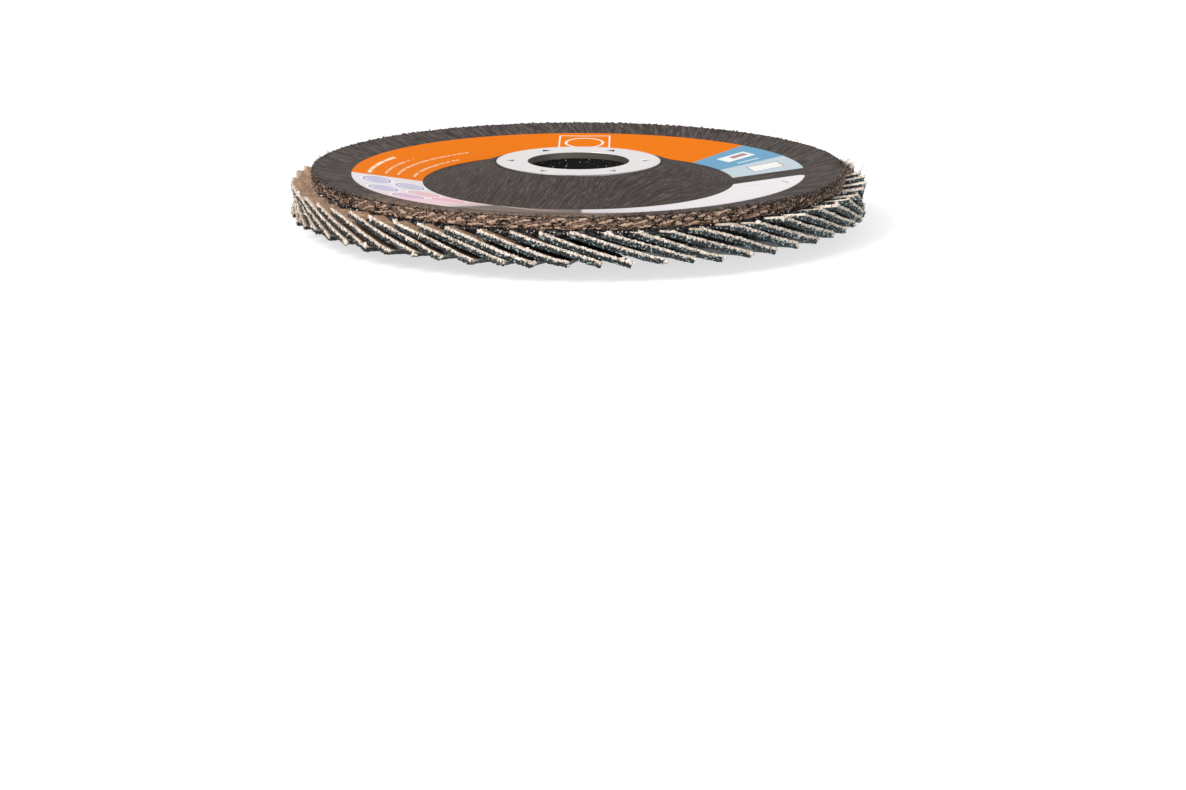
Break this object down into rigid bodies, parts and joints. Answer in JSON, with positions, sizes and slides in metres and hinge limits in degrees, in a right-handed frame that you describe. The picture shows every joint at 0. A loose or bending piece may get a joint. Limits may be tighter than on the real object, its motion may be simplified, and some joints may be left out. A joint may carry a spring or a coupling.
{
  "type": "flap disc",
  "caption": "Flap disc for an angle grinder: dished fibre plate with a steel arbor ring, a paper label and a ring of slanted abrasive cloth flaps glued beneath.",
  "frame": {"origin": "centre of the bore at the arbor ring's top face, which seats on the grinder's flange", "axes": "+Z along the bore axis, out of the labelled back of the disc; +X through the gap in the label"},
  "size_m": [0.1254, 0.1254, 0.0143],
  "materials": {
    "fibre_plate": "resin-bound glass fibre with a dark grey-brown fleece skin",
    "ring_steel": "bright zinc-plated pressed steel",
    "label_paper": "printed paper with plain orange, blue and white fields",
    "adhesive": "black epoxy with pale flecks",
    "coated_cloth": "brown backed cloth with teal-black abrasive grain beneath and frayed cream edges"
  },
  "bodies": {
    "root": {"backing_plate": "fibre_plate", "arbor_ring": "ring_steel", "label": "label_paper", "adhesive_bed": "adhesive", "flap_pair_01": "coated_cloth", "flap_pair_02": "coated_cloth", "flap_pair_03": "coated_cloth", "flap_pair_04": "coated_cloth", "flap_pair_05": "coated_cloth", "flap_pair_06": "coated_cloth", "flap_pair_07": "coated_cloth", "flap_pair_08": "coated_cloth", "flap_pair_09": "coated_cloth", "flap_pair_10": "coated_cloth", "flap_pair_11": "coated_cloth", "flap_pair_12": "coated_cloth", "flap_pair_13": "coated_cloth", "flap_pair_14": "coated_cloth", "flap_pair_15": "coated_cloth", "flap_pair_16": "coated_cloth", "flap_pair_17": "coated_cloth", "flap_pair_18": "coated_cloth", "flap_pair_19": "coated_cloth", "flap_pair_20": "coated_cloth", "flap_pair_21": "coated_cloth", "flap_pair_22": "coated_cloth", "flap_pair_23": "coated_cloth", "flap_pair_24": "coated_cloth", "flap_pair_25": "coated_cloth", "flap_pair_26": "coated_cloth", "flap_pair_27": "coated_cloth", "flap_pair_28": "coated_cloth", "flap_pair_29": "coated_cloth", "flap_pair_30": "coated_cloth"}
  },
  "joints": []
}
